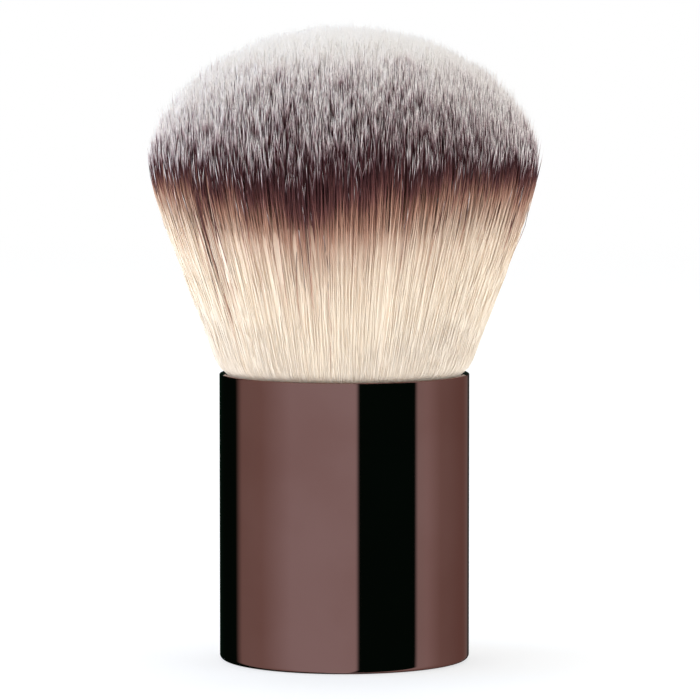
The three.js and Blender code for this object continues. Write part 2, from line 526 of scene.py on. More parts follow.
def turned(
    name: str,
    outline: np.ndarray,
    segments: int,
    material: bpy.types.Material,
    crease: float = 35.0,
) -> bpy.types.Object:
    """Turns an outline about the Z axis into a closed solid.

    Each outline point (r, z) becomes a ring (r cos a, r sin a, z) of equal angles a. The first and last
    points are on the axis, and become poles.

    Args:
        name: The piece's name.
        outline: Rows of radius and height, from the foot outwards and up.
        segments: Points in each ring.
        material: The piece's finish.
        crease: Edges sharper than this many degrees stay crisp.

    Returns:
        The new object.
    """
    rings = outline[1:-1]
    turn = np.linspace(0.0, 2 * np.pi, segments, endpoint=False)
    x = rings[:, :1] * np.cos(turn)
    y = rings[:, :1] * np.sin(turn)
    z = np.broadcast_to(rings[:, 1:], x.shape)
    poles = np.array([[0.0, 0.0, outline[0, 1]], [0.0, 0.0, outline[-1, 1]]])
    points = np.concatenate([np.stack([x, y, z], axis=2).reshape(-1, 3), poles])
    here = np.arange(segments)
    after = (here + 1) % segments
    row = np.arange(len(rings) - 1)[:, None] * segments
    quads = np.stack([row + here, row + after, row + segments + after, row + segments + here], axis=2)
    foot = len(points) - 2
    last = (len(rings) - 1) * segments
    under = np.stack([np.full(segments, foot), after, here], axis=1)
    over = np.stack([np.full(segments, foot + 1), last + here, last + after], axis=1)
    made = put_mesh(name, points, [quads.reshape(-1, 4), under, over], material)
    made.data.set_sharp_from_angle(angle=math.radians(crease))
    return made


@dataclass(frozen=True)
class Handle:
    """The lacquered metal cup that the brush stands on."""

    wall: float = 0.8 * MM
    floor: float = 1.0 * MM
    base_round: float = 0.6 * MM
    rim_round: float = 0.15 * MM
    segments: int = 288
    arc_steps: int = 12
    wall_steps: int = 24

    @property
    def radius(self) -> float:
        """The outer radius, from the frame."""
        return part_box("handle_shell")[1].x

    @property
    def height(self) -> float:
        """The height of the rim, from the frame."""
        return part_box("handle_shell")[1].z

    def outline(self) -> np.ndarray:
        """The shell's half section: flat base, rounded foot, straight wall, rounded rim, and bore.

        Returns:
            Rows of radius and height, from the axis below to the axis above.
        """
        bore = self.radius - self.wall
        base, edge = self.base_round, self.rim_round
        foot = arc((self.radius - base, base), base, -90, 0, self.arc_steps)
        outer = arc((self.radius - edge, self.height - edge), edge, 0, 90, self.arc_steps)
        inner = arc((bore + edge, self.height - edge), edge, 90, 180, self.arc_steps)
        climb = np.linspace(foot[-1, 1], outer[0, 1], self.wall_steps)[1:-1]
        side = np.stack([np.full_like(climb, self.radius), climb], axis=1)
        flat = np.array([[0.0, 0.0], [self.radius / 2, 0.0]])
        inside = np.array([[bore, self.floor], [0.0, self.floor]])
        return np.concatenate([flat, foot, side, outer, inner, inside])

    def build(self) -> bpy.types.Object:
        """Makes the shell and dresses it.

        Returns:
            The shell, which rides on the handle and stands for its CAD node.
        """
        shell = turned("handle_cup", self.outline(), self.segments, HandleLacquer().material())
        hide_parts("handle_shell")
        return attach(shell, Body.HANDLE.value)


@dataclass(frozen=True)
class InnerPieces:
    """The pieces inside the handle, which keep their CAD shapes."""

    foam: InnerFinish = InnerFinish(
        "foam_pad", (0.018, 0.018, 0.020), (0.045, 0.045, 0.048),
        metallic=0.0, roughness=0.8, grain=Grain.EVEN, grain_scale=3000.0, bump=0.5,
    )
    steel: InnerFinish = InnerFinish(
        "turned_steel", (0.30, 0.31, 0.32), (0.44, 0.45, 0.46),
        metallic=1.0, roughness=0.28, grain=Grain.LEVEL, grain_scale=2400.0, bump=0.15,
    )
    liner: InnerFinish = InnerFinish(
        "moulded_liner", (0.010, 0.010, 0.011), (0.020, 0.019, 0.020),
        metallic=0.0, roughness=0.45, grain=Grain.EVEN, grain_scale=1800.0, bump=0.12,
    )
    glue: InnerFinish = InnerFinish(
        "cured_glue", (0.62, 0.53, 0.33), (0.74, 0.68, 0.48),
        metallic=0.0, roughness=0.15, grain=Grain.EVEN, grain_scale=500.0, bump=0.25,
    )
    cup: InnerFinish = InnerFinish(
        "drawn_cup", (0.50, 0.51, 0.53), (0.62, 0.63, 0.64),
        metallic=1.0, roughness=0.26, grain=Grain.UPRIGHT, grain_scale=2600.0, bump=0.10,
    )
    tie: InnerFinish = InnerFinish(
        "waxed_tie", (0.62, 0.57, 0.48), (0.84, 0.80, 0.72),
        metallic=0.0, roughness=0.6, grain=Grain.EVEN, grain_scale=2800.0, bump=0.6,
    )

    def dress(self) -> None:
        """Gives each hidden CAD node its finish."""
        finishes = {
            "floor_pad": self.foam,
            "ballast_weight": self.steel,
            "core_sleeve": self.liner,
            "shell_glue_ring": self.glue,
            "cup_glue_ring": self.glue,
            "ferrule_cup": self.cup,
            "root_plug": self.glue,
            "binding_cord": self.tie,
        }
        materials = {finish.name: finish.material() for finish in finishes.values()}
        for node, finish in finishes.items():
            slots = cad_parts[node].data.materials
            slots.clear()
            slots.append(materials[finish.name])
            log.info("%s: dressed as %s", node, finish.name)


@dataclass(frozen=True)
class BundleShape:
    """The outer shape of the bristle bundle. Heights are above the handle's rim."""

    rim: float
    rim_radius: float
    head_radius: float
    head_height: float
    bore_gap: float = 0.95 * MM
    lean: float = 0.364
    crest: float = 24.6 * MM
    crest_round: float = 2.0 * MM
    bulge: float = 0.72 * MM
    bulge_height: float = 0.5 * MM
    mouth_lean: float = 0.525
    outer_tips: float = 27.5 * MM
    crown_fuzz: float = 0.35 * MM
    dome_power: float = 0.55

    @classmethod
    def from_frame(cls) -> BundleShape:
        """Takes the sizes that the frame holds.

        Returns:
            The shape, with its radius at the rim a gap inside the shell.
        """
        shell_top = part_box("handle_shell")[1]
        head_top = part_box("bristle_head")[1]
        return cls(shell_top.z, shell_top.x - cls.bore_gap, head_top.x, head_top.z - shell_top.z)

    def fan(self, height: np.ndarray) -> np.ndarray:
        """Radius of the outermost bristle at a height.

        Above the rim it is the rim radius, plus a bulge that nears its full size exponentially, plus the
        lean times the height. Past the crest the height stops counting, so that the bristles turn upright.
        Below the rim it narrows towards the mouth of the cup.

        Args:
            height: Heights above the rim.

        Returns:
            Radii, in the same shape.
        """
        above = np.maximum(height, 0.0)
        below = np.minimum(height, 0.0)
        bulge = self.bulge * (1.0 - np.exp(-above / self.bulge_height))
        past = self.crest_round * np.log1p(np.exp((above - self.crest) / self.crest_round))
        return self.rim_radius + bulge + self.lean * (above - past) + self.mouth_lean * below

    def tip_height(self, share: np.ndarray) -> np.ndarray:
        """Height of the dome of tips, which is a little more pointed than half an ellipsoid.

        It is the height of the outermost tips, plus the dome's own height times a power of 1 less the
        square of the share.

        Args:
            share: Each bristle's place across the bundle, from 0 at the axis to 1 outside.

        Returns:
            Heights above the rim.
        """
        dome = self.head_height + self.crown_fuzz - self.outer_tips
        return self.outer_tips + dome * np.maximum(1.0 - share**2, 0.0) ** self.dome_power


def ease(value: np.ndarray, low: float, high: float) -> np.ndarray:
    """Goes smoothly from 0 at low to 1 at high."""
    share = np.clip((value - low) / (high - low), 0.0, 1.0)
    return share * share * (3.0 - 2.0 * share)


@dataclass(frozen=True)
class Bell:
    """A rise on one side of the head, with its bearing and its width in radians."""

    height: float
    bearing: float
    width: float

    def at(self, turn: np.ndarray) -> np.ndarray:
        """The height times e to the power of minus the squared distance from the bearing, in widths."""
        return self.height * np.exp(-(((turn - self.bearing) / self.width) ** 2))


@dataclass(frozen=True)
class Ripple:
    """A wave of equal crests all round the head, with its phase in radians."""

    height: float
    crests: int
    phase: float

    def at(self, turn: np.ndarray) -> np.ndarray:
        """The height times the sine of the crests times the bearing plus the phase."""
        return self.height * np.sin(self.crests * turn + self.phase)


@dataclass(frozen=True)
class WhiteTips:
    """Where the white of the tips ends.

    The cut and the edge take length off it, and the spread, the patches and the lobes vary it. The crown,
    the heart of the crown and the two sides add length to it.
    """

    cut: float = 0.36 * MM
    spread: float = 0.45 * MM
    patch: float = 0.08 * MM
    lobes: Ripple = Ripple(0.08 * MM, 6, -math.pi / 2)
    crown: float = 1.95 * MM
    heart: float = 1.8 * MM
    heart_range: Range = (0.35, 0.8)
    side: float = 0.9 * MM
    left_bias: float = 0.25
    edge: float = 0.26 * MM
    edge_range: Range = (0.94, 1.0)


@dataclass(frozen=True)
class DarkBand:
    """Where the foot of the dark band lies round the head, and how its dye ran down."""

    level: float = 3.6 * MM
    wave: float = 2.8 * MM
    spread: float = 0.4 * MM
    start_range: Range = (2.5 * MM, 7.5 * MM)
    dark_floor: float = 3.5 * MM
    side_floor: float = 0.9 * MM
    foot: tuple[Union[Ripple, Bell], ...] = (
        Ripple(0.9 * MM, 3, 0.0),
        Ripple(0.6 * MM, 5, 0.44 - math.pi / 2),
        Ripple(0.4 * MM, 9, 0.5),
        Ripple(0.3 * MM, 17, 2.0),
        Ripple(0.3 * MM, 31, 1.0),
        Bell(-0.8 * MM, -1.18, 0.1),
        Bell(0.7 * MM, -0.98, 0.09),
        Bell(-0.9 * MM, -0.8, 0.13),
        Bell(-0.6 * MM, -0.55, 0.18),
        Bell(-1.0 * MM, -0.22, 0.17),
        Bell(0.6 * MM, 0.7, 0.3),
        Bell(-1.3 * MM, 1.3, 0.25),
    )
    runny: Bell = Bell(1.0, -0.83, 0.13)
    runny_spread: float = 2.0
    run_share: float = 0.006
    runny_share: float = 0.66
    run_length: float = 5.5 * MM
    longest_run: float = 13.0 * MM


@dataclass(frozen=True)
class BristleField:
    """Where every bristle grows, leans and ends, and how it is dyed: one row for each bristle."""

    shape: BundleShape
    white: WhiteTips = WhiteTips()
    band: DarkBand = DarkBand()

    # The spiral of feet and its clumps.
    count: int = 42000
    seed: int = 29
    jitter: float = 0.35
    clump_cells: int = 80
    clump_pull: float = 0.62
    clump_mix: float = 0.7

    # How a bristle leans, lies in the shell, splays, bows and weaves.
    stray_share: float = 0.015
    stray_factor: float = 2.2
    lean_spread: float = 0.32 * MM
    lean_power: float = 1.6
    shaft_share: float = 0.982
    shell: float = 0.35
    loose_range: Range = (14.0 * MM, 24.0 * MM)
    splay: float = 0.28 * MM
    splay_length: float = 6.0 * MM
    bow: float = 0.26 * MM
    weave: float = 0.075 * MM
    weave_foot: float = 3.0 * MM
    weave_lengths: Range = (7.0 * MM, 14.0 * MM)

    # The uneven ends of the tips.
    tip_own: float = 0.3 * MM
    tip_clump: float = 0.35 * MM
    tip_patch: float = 0.1 * MM
    tip_cut: float = 0.25 * MM
    crown_unevenness: float = 0.55
    crown_range: Range = (0.5, 0.9)
    short_share: float = 0.16
    outer_short_share: float = 0.18
    outer_range: Range = (0.8, 1.0)
    short_spread: float = 2.0 * MM
    droop: Bell = Bell(1.9 * MM, -0.32, 0.28)
    droop_power: int = 8
    patch_waves: tuple[tuple[int, int, int], ...] = ((17, 9, 1), (-11, 19, 2), (23, -5, 4))

    @cached_property
    def draws(self) -> dict[str, np.ndarray]:
        """Every seeded random number, drawn in one fixed order.

        Returns:
            Arrays by name, with a number for every bristle or for every cell of the grid of clumps.
        """
        rng = np.random.default_rng(self.seed)
        cells = (self.clump_cells + 3,) * 2
        normal = ("tip", "white", "band", "thick")
        normal += ("lean_x", "lean_y", "splay_x", "splay_y", "weave_x", "weave_y", "jitter_x", "jitter_y")
        level = ("stray", "short", "bleed", "twist", "column", "weave_phase", "weave_length")
        drawn = {name: rng.normal(size=self.count) for name in normal}
        drawn |= {name: rng.random(self.count) for name in level}
        drawn |= {name: rng.exponential(size=self.count) for name in ("shortfall", "bled")}
        drawn |= {name: rng.uniform(-0.5, 0.5, cells) for name in ("clump_x", "clump_y")}
        clumps = ("clump_tip", "clump_white", "clump_band", "clump_splay_x", "clump_splay_y")
        drawn |= {name: rng.normal(size=cells) for name in clumps}
        drawn["bow"] = rng.normal(size=self.count)
        return drawn

    def pair(self, name: str) -> np.ndarray:
        """Two random numbers drawn for each bristle or clump, as an x and a y."""
        return np.stack([self.draws[name + "_x"], self.draws[name + "_y"]], axis=-1)

    def mixed(self, name: str, rows: np.ndarray) -> np.ndarray:
        """What was drawn for some bristles and what was drawn for their clumps, in equal parts."""
        cells = (self.cell[0][rows], self.cell[1][rows])
        return self.clump_mix * (self.draws[name][rows] + self.draws["clump_" + name][cells])

    @cached_property
    def foot(self) -> np.ndarray:
        """Each bristle's place in the unit disc: a sunflower spiral with a little jitter.

        Returns:
            Rows of x and y.
        """
        order = np.arange(self.count) + 0.5
        golden = np.pi * (3.0 - math.sqrt(5.0))
        share = np.sqrt(order / self.count)
        spiral = np.stack([share * np.cos(golden * order), share * np.sin(golden * order)], axis=1)
        spot = spiral + self.pair("jitter") * self.jitter / math.sqrt(self.count)
        reach = np.linalg.norm(spot, axis=1, keepdims=True)
        return spot / np.maximum(reach, 1.0)

    @cached_property
    def share(self) -> np.ndarray:
        """Distance of each foot from the axis, from 0 to 1."""
        return np.linalg.norm(self.foot, axis=1)

    @cached_property
    def bearing(self) -> np.ndarray:
        """Angle of each foot round the axis, in radians from the front towards +X."""
        return np.arctan2(self.foot[:, 0], -self.foot[:, 1])

    @cached_property
    def cell(self) -> tuple[np.ndarray, np.ndarray]:
        """The clump that each bristle belongs to, as the row and column of a square grid over the disc."""
        grid = np.round((self.foot + 1.0) / 2.0 * self.clump_cells).astype(int) + 1
        return grid[:, 0], grid[:, 1]

    @cached_property
    def clump(self) -> np.ndarray:
        """The middle of each bristle's clump, in the unit disc."""
        middle = np.stack(self.cell, axis=1) - 1 + self.pair("clump")[self.cell]
        return middle * 2.0 / self.clump_cells - 1.0

    @cached_property
    def tip(self) -> np.ndarray:
        """Height of each tip above the rim: the dome, less a droop at the front and a random shortfall.

        Returns:
            One height for each bristle.
        """
        draws, share = self.draws, self.share
        more = (self.outer_short_share - self.short_share) * ease(share, *self.outer_range)
        short = (draws["short"] < self.short_share + more) * draws["shortfall"] * self.short_spread
        uneven = self.tip_own * draws["tip"] + self.tip_clump * draws["clump_tip"][self.cell]
        uneven = uneven + self.tip_patch * self.patches - self.tip_cut
        rough = self.crown_unevenness + (1.0 - self.crown_unevenness) * ease(share, *self.crown_range)
        return self.shape.tip_height(share) - self.front_droop + uneven * rough - short

    @cached_property
    def front_droop(self) -> np.ndarray:
        """How much lower the outermost tips end at the front: a bell that fades out towards the crown."""
        return self.droop.at(self.bearing) * self.share**self.droop_power

    @cached_property
    def patches(self) -> np.ndarray:
        """Soft patches over the head: the sum of sine waves that cross each other in the unit disc."""
        x, y = self.foot.T
        return sum(np.sin(across * x + along * y + phase) for across, along, phase in self.patch_waves)

    def white_shift(self, rows: np.ndarray) -> np.ndarray:
        """How much sooner the white of some bristles ends.

        It is a plain cut, with a random part, soft patches and lobes. The white is longer at the crown and
        on the two sides, and shorter on the outermost bristles.

        Args:
            rows: Which bristles.

        Returns:
            One length for each bristle.
        """
        white, turn, share = self.white, self.bearing[rows], self.share[rows]
        shift = white.cut + white.spread * self.mixed("white", rows)
        shift = shift + white.patch * self.patches[rows] + white.lobes.at(turn)
        shift = shift - white.crown * (1.0 - share) - white.heart * ease(1.0 - share, *white.heart_range)
        sides = np.sin(turn) ** 2 - white.left_bias * np.sin(turn)
        return shift - white.side * sides * share + white.edge * ease(share, *white.edge_range)

    def band_shift(self, rows: np.ndarray) -> np.ndarray:
        """How much higher the foot of the dark band lies on some bristles.

        It is a wave of two crests, with smaller ripples and bells round the head and a random part, less
        the length that the dye of a few bristles ran down. The height of the dome above the outermost tips
        is taken off, so that all layers turn pale at one height.

        Args:
            rows: Which bristles.

        Returns:
            One length for each bristle.
        """
        band, shape, draws, turn = self.band, self.shape, self.draws, self.bearing[rows]
        runny = band.runny.at(turn)
        foot = band.level - band.wave * np.cos(2 * turn) + sum(part.at(turn) for part in band.foot)
        uneven = band.spread * self.mixed("band", rows) * (1.0 + band.runny_spread * runny)
        runs = draws["bleed"][rows] < band.run_share + band.runny_share * runny
        run = runs * np.minimum(draws["bled"][rows] * band.run_length, band.longest_run)
        higher = shape.tip_height(self.share[rows]) - self.front_droop[rows] - shape.outer_tips
        return foot + uneven - run - higher

    def dye_place(self, rows: np.ndarray, from_tip: np.ndarray) -> np.ndarray:
        """Where the dye's colours are read along some bristles.

        It is the distance from the tip, moved by the white's shift, which fades out as the band's shift
        fades in. Where the band is moved far down, the place waits at a dark floor, so that no white comes
        back.

        Args:
            rows: Which bristles.
            from_tip: Distances from the tip, one row for each bristle.

        Returns:
            Moved distances, in the same shape.
        """
        band = self.band
        below = ease(from_tip, *band.start_range)
        tipped = from_tip + self.white_shift(rows)[:, None] * (1.0 - below)
        dipped = tipped + self.band_shift(rows)[:, None] * below
        floor = band.dark_floor + band.side_floor * np.sin(self.bearing[rows, None]) ** 2
        return np.maximum(dipped, np.minimum(tipped, floor))

    def radius(self, rows: np.ndarray, height: np.ndarray) -> np.ndarray:
        """The radius that some bristles' places in the unit disc are multiplied by.

        It is the fan's. Low down the shafts are drawn out into a shell that is thinner than their own
        depth in the bundle, and higher up they go back to that depth.

        Args:
            rows: Which bristles.
            height: Heights above the rim, one row for each bristle.

        Returns:
            Radii, in the shape of the heights.
        """
        share = self.share[rows, None]
        loose = np.maximum(ease(height, *self.loose_range), share <= self.shaft_share)
        depth = (1.0 - share) * (self.shell + (1.0 - self.shell) * loose)
        return self.shape.fan(height) * (1.0 - depth) / share

    def path(self, rows: np.ndarray, height: np.ndarray) -> np.ndarray:
        """Points along some bristles.

        A bristle keeps its share of the fan. As it rises it is drawn to the middle of its clump, leans by
        its own random amount, and weaves a little from side to side. It bows round the axis by a parabola
        that is highest halfway up. Near the tip it splays, partly with its clump.

        Args:
            rows: Which bristles.
            height: Heights above the rim, one row for each bristle.

        Returns:
            An array of bristle, height, and x, y, z.
        """
        draws, foot, tip = self.draws, self.foot[rows], self.tip[rows, None]
        rise = np.clip(height / tip, 0.0, 1.0)[..., None]
        spot = foot[:, None] + self.clump_pull * rise**2 * (self.clump[rows] - foot)[:, None]
        stray = np.where(draws["stray"][rows] < self.stray_share, self.stray_factor, 1.0)[:, None, None]
        lean = self.lean_spread * self.pair("lean")[rows, None] * stray * rise**self.lean_power
        shortest, longest = self.weave_lengths
        length = shortest + (longest - shortest) * draws["weave_length"][rows, None]
        swing = np.sin(2 * np.pi * (height / length + draws["weave_phase"][rows, None]))
        swing = swing * ease(height, 0.0, self.weave_foot)
        weave = self.weave * self.pair("weave")[rows, None] * swing[..., None]
        sideways = np.stack([-foot[:, 1], foot[:, 0]], axis=1) * draws["bow"][rows, None]
        bow = 4.0 * self.bow * sideways[:, None] * rise * (1.0 - rise)
        near = np.clip(1.0 - (tip - height) / self.splay_length, 0.0, 1.0) ** 2
        aside = np.stack([self.mixed("splay_x", rows), self.mixed("splay_y", rows)], axis=1)
        splay = self.splay * aside[:, None] * near[..., None]
        flat = spot * self.radius(rows, height)[..., None] + lean + bow + weave + splay
        return np.concatenate([flat, (self.shape.rim + height)[..., None]], axis=2)


@dataclass(frozen=True)
class TubePattern:
    """How one bristle's points are joined: a foot point, rings of a few sides, and a top point."""

    rings: int
    sides: int

    @property
    def points(self) -> int:
        """How many points one bristle has: the rings from the foot up, then the foot and the top."""
        return self.rings * self.sides + 2

    @cached_property
    def faces(self) -> np.ndarray:
        """Triangles by point number: two for each side between rings, then the foot, then the top.

        Returns:
            Rows of three numbers.
        """
        side = np.arange(self.sides)
        after = (side + 1) % self.sides
        level = np.arange(self.rings - 1)[:, None] * self.sides
        above = level + self.sides
        low = np.stack([level + side, level + after, above + after], axis=2)
        high = np.stack([level + side, above + after, above + side], axis=2)
        last = (self.rings - 1) * self.sides
        foot = np.full(self.sides, self.points - 2)
        under = np.stack([after, side, foot], axis=1)
        over = np.stack([last + side, last + after, foot + 1], axis=1)
        return np.concatenate([low.reshape(-1, 3), high.reshape(-1, 3), under, over])

    @cached_property
    def across(self) -> np.ndarray:
        """How far round the tube each corner of each triangle is, from 0 to 1.

        Returns:
            Rows of three shares, in the order of the faces.
        """
        here = np.arange(self.sides) / self.sides
        there = here + 1.0 / self.sides
        middle = (here + there) / 2
        low = np.tile(np.stack([here, there, there], axis=1), (self.rings - 1, 1))
        high = np.tile(np.stack([here, there, here], axis=1), (self.rings - 1, 1))
        under = np.stack([there, here, middle], axis=1)
        over = np.stack([here, there, middle], axis=1)
        return np.concatenate([low, high, under, over])

    def gather(self, values: np.ndarray) -> np.ndarray:
        """Spreads values along the bristles over their points.

        Args:
            values: One row for each bristle, from the foot's point through the rings to the top's point.

        Returns:
            One row for each bristle, in the order of its points.
        """
        return np.concatenate([np.repeat(values[:, 1:-1], self.sides, axis=1), values[:, [0, -1]]], axis=1)


@dataclass(frozen=True)
class BristleBundle:
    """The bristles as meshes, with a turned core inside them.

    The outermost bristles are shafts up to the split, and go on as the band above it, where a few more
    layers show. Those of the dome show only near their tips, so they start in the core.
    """

    field: BristleField
    dye: BristleDye = BristleDye()

    # Where the bundle is divided, and where its bend would start and end.
    split: float = 12.5 * MM
    splice: float = 1.0 * MM
    bend_foot: float = -2.5 * MM
    bend_top: float = 30.0 * MM
    outer_share: float = 0.90

    # How thick the bristles are, and the margins of their bake map.
    thickness: float = 0.20 * MM
    thickness_spread: float = 0.10
    taper: float = 14.0 * MM
    taper_power: float = 0.9
    tip_fineness: float = 0.28
    packing: float = 1.7
    column_margin: float = 0.15
    dye_margin: float = 0.002

    # The rings of each kind: the shafts' in millimetres, the others' as shares of the way to the tip.
    shaft_rings: tuple[float, ...] = (-4.0, -3.0, 0.0, 0.8, 1.8, 3.4, 5.2, 7.0, 8.8, 10.6)
    shaft_sides: int = 5
    shaft_sectors: int = 2
    band_rings: tuple[float, ...] = (0.0, 0.16, 0.32, 0.48, 0.63, 0.77, 0.90, 1.0)
    band_sides: int = 4
    band_sectors: int = 3
    dome_rings: tuple[float, ...] = (0.0, 0.08, 0.33, 0.59, 0.81, 1.0)
    dome_sides: int = 3
    dome_sectors: int = 6
    tip_length: float = 8.5 * MM

    # The core and its two outlines.
    core_reach: float = 0.992
    core_segments: int = 96
    core_steps: int = 14
    narrow_range: Range = (17.5 * MM, 26.0 * MM)
    root_inset: float = 0.8 * MM
    resin_gap: float = 0.2 * MM
    tie_gap: float = 0.3 * MM
    waist_depth: float = 1.2 * MM
    shoulder: float = 0.1 * MM
    mouth_fade: float = 2.0 * MM
    plug_gap: float = 0.3 * MM
    crown_swell: float = 0.05 * MM
    crown_steps: int = 10
    root_cover: float = 1.0 * MM

    @cached_property
    def material(self) -> bpy.types.Material:
        """The dyed finish that every bristle shares."""
        return self.dye.material()

    def core_share(self, height: np.ndarray) -> np.ndarray:
        """How much of the bundle's radius the core fills: nearly all low down, less in the dark band."""
        narrow = ease(height, *self.narrow_range)
        return self.core_reach - (self.core_reach - self.outer_share) * narrow

    def half_width(self, rows: np.ndarray, height: np.ndarray) -> np.ndarray:
        """Half the bristles' thickness along their length.

        It is full past the taper and fine at the tip, and it narrows with the fan towards the rim, where
        the bristles are packed most tightly.

        Args:
            rows: Which bristles.
            height: Heights above the rim, one row for each bristle.

        Returns:
            Half widths, in the shape of the heights.
        """
        field, shape = self.field, self.field.shape
        full = self.thickness / 2 * (1.0 + self.thickness_spread * field.draws["thick"][rows, None])
        thick = np.clip((field.tip[rows, None] - height) / self.taper, 0.0, 1.0) ** self.taper_power
        packed = np.minimum(shape.fan(height) / shape.head_radius, 1.0) ** self.packing
        return full * packed * (self.tip_fineness + (1.0 - self.tip_fineness) * thick)

    def bristles(self, name: str, rows: np.ndarray, height: np.ndarray, sides: int) -> bpy.types.Object:
        """Builds some bristles as one mesh of thin closed tubes.

        Each bristle is a ring of points round its path at each height, between a point at each end.

        Args:
            name: The piece's name.
            rows: Which bristles.
            height: Heights above the rim from the foot's point to the top's, one row for each bristle.
            sides: Points in each ring.

        Returns:
            The new object, with its bake map.
        """
        pattern = TubePattern(height.shape[1] - 2, sides)
        points = pattern.gather(self.field.path(rows, height))
        width = pattern.gather(self.half_width(rows, height))[:, :-2]
        turn = 2 * np.pi * (self.field.draws["twist"][rows, None] + np.arange(sides) / sides)
        turns = np.tile(turn, (1, pattern.rings))
        points[:, :-2, 0] += width * np.cos(turns)
        points[:, :-2, 1] += width * np.sin(turns)
        first = np.arange(len(rows)) * pattern.points
        faces = (first[:, None, None] + pattern.faces).reshape(-1, 3)
        made = put_mesh(name, points.reshape(-1, 3), [faces], self.material)
        self.map_dye(made, rows, height, pattern)
        return made

    def map_dye(
        self, made: bpy.types.Object, rows: np.ndarray, height: np.ndarray, pattern: TubePattern
    ) -> None:
        """Writes the bake map: the bristle's shade column across, and the place in the dye up.

        Args:
            made: The mesh of bristles.
            rows: Which bristles it holds.
            height: Heights above the rim, one row for each bristle.
            pattern: How each bristle's points are joined.
        """
        field, columns = self.field, self.dye.columns
        column = np.floor(field.draws["column"][rows] * columns)
        inset = self.column_margin + (1.0 - 2.0 * self.column_margin) * pattern.across
        u = (column[:, None, None] + inset) / columns
        dyed = pattern.gather(field.dye_place(rows, field.tip[rows, None] - height)) / self.dye.span
        v = np.clip(dyed, self.dye_margin, 1.0 - self.dye_margin)[:, pattern.faces]
        layer = made.data.uv_layers.new(name=BAKE_MAP)
        layer.uv.foreach_set("vector", np.stack([u, v], axis=3).astype(np.float32).ravel())

    def sectors(self, chosen: np.ndarray, count: int) -> list[tuple[int, np.ndarray]]:
        """Splits bristles into equal sectors round the axis.

        Args:
            chosen: Whether each bristle of the field is taken.
            count: How many sectors.

        Returns:
            Each sector's number, from 1, and the rows of its bristles.
        """
        turn = (self.field.bearing / (2 * np.pi)) % 1.0
        sector = np.minimum((turn * count).astype(int), count - 1)
        return [(i + 1, np.flatnonzero(chosen & (sector == i))) for i in range(count)]

    def root_outline(self) -> np.ndarray:
        """Half section of the core below the split.

        It is held in the resin, tied at a waist, and fans out of the cup. A plug on top reaches into the
        upper half, so that no gap would open if the two bent.

        Returns:
            Rows of radius and height.
        """
        shape = self.field.shape
        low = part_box("bristle_root")[0].z - shape.rim
        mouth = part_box("ferrule_cup")[1].z - shape.rim
        resin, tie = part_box("root_plug")[1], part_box("binding_cord")[1]
        root = resin.x - self.root_inset
        root_top = resin.z - shape.rim + self.resin_gap
        waist = tie.x - self.waist_depth
        waist_top = tie.z - shape.rim + self.tie_gap
        held = [
            [0.0, low],
            [root, low],
            [root, root_top],
            [waist, root_top + self.shoulder],
            [waist, waist_top],
            [tie.x, waist_top + self.shoulder],
        ]
        climb = np.linspace(mouth, self.split, self.core_steps)
        spare = tie.x / shape.fan(np.array(mouth)) - self.core_reach
        share = self.core_share(climb) + spare * np.exp(-(climb - mouth) / self.mouth_fade)
        fan = np.stack([share * shape.fan(climb), climb], axis=1)
        plug = fan[-1, 0] - self.plug_gap
        top = self.split + self.splice
        plugged = [[plug, self.split], [plug, top], [0.0, top]]
        return np.concatenate([held, fan, plugged]) + np.array([0.0, shape.rim])

    def crown_outline(self) -> np.ndarray:
        """Half section of the core above the split: the fan's side, then a dome over the tips' roots.

        Returns:
            Rows of radius and height.
        """
        shape = self.field.shape
        share = np.linspace(self.outer_share, 0.0, self.core_steps)
        dome = shape.tip_height(share) - self.tip_length + self.root_cover
        side = np.linspace(self.split, dome[0], self.crown_steps)[:-1]
        wall = np.stack([self.core_share(side) * shape.fan(side) + self.crown_swell, side], axis=1)
        over = np.stack([share * shape.fan(dome), dome], axis=1)
        return np.concatenate([[[0.0, self.split]], wall, over]) + np.array([0.0, shape.rim])

    def on_axis(self, height: float) -> tuple[float, float, float]:
        """The point on the axis at a height above the rim."""
        return (0.0, 0.0, self.field.shape.rim + height)

    def bend_lower(self, piece: bpy.types.Object) -> None:
        """Bakes the placement of a piece below the split into its mesh.

        Args:
            piece: A piece of the lower half.
        """
        start, end = self.on_axis(self.bend_foot), self.on_axis(self.split)
        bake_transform(piece)
        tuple(start)
        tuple(end)

    def bend_upper(self, piece: bpy.types.Object) -> None:
        """Bakes the placement of a piece above the split into its mesh.

        Args:
            piece: A piece of the upper half.
        """
        start, end = self.on_axis(self.split), self.on_axis(self.bend_top)
        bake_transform(piece)
        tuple(start)
        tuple(end)

    def build_core(self) -> None:
        """Makes the two halves of the core."""
        finish = BundleCoreFinish(self.field, self.dye).material()
        self.bend_lower(turned("bristle_core_root", self.root_outline(), self.core_segments, finish))
        self.bend_upper(turned("bristle_core_crown", self.crown_outline(), self.core_segments, finish))

    def build_shafts(self) -> None:
        """Makes the shafts, from inside the handle to a little past the split."""
        rings = np.append(np.array(self.shaft_rings) * MM, [self.split, self.split + self.splice])
        chosen = self.field.share > self.field.shaft_share
        for number, rows in self.sectors(chosen, self.shaft_sectors):
            height = np.tile(rings, (len(rows), 1))
            shafts = self.bristles(f"bristle_shafts_{number}", rows, height, self.shaft_sides)
            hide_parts("bristle_root", "bristle_neck")
            self.bend_lower(shafts)

    def build_band(self) -> None:
        """Makes the bristles of the band, from a little below the split to their tips."""
        chosen = self.field.share > self.outer_share
        for number, rows in self.sectors(chosen, self.band_sectors):
            rise = np.array(self.band_rings) * (self.field.tip[rows, None] - self.split)
            height = self.split + np.insert(rise, 0, -self.splice, axis=1)
            band = self.bristles(f"bristle_band_{number}", rows, height, self.band_sides)
            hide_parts("bristle_head")
            self.bend_upper(band)

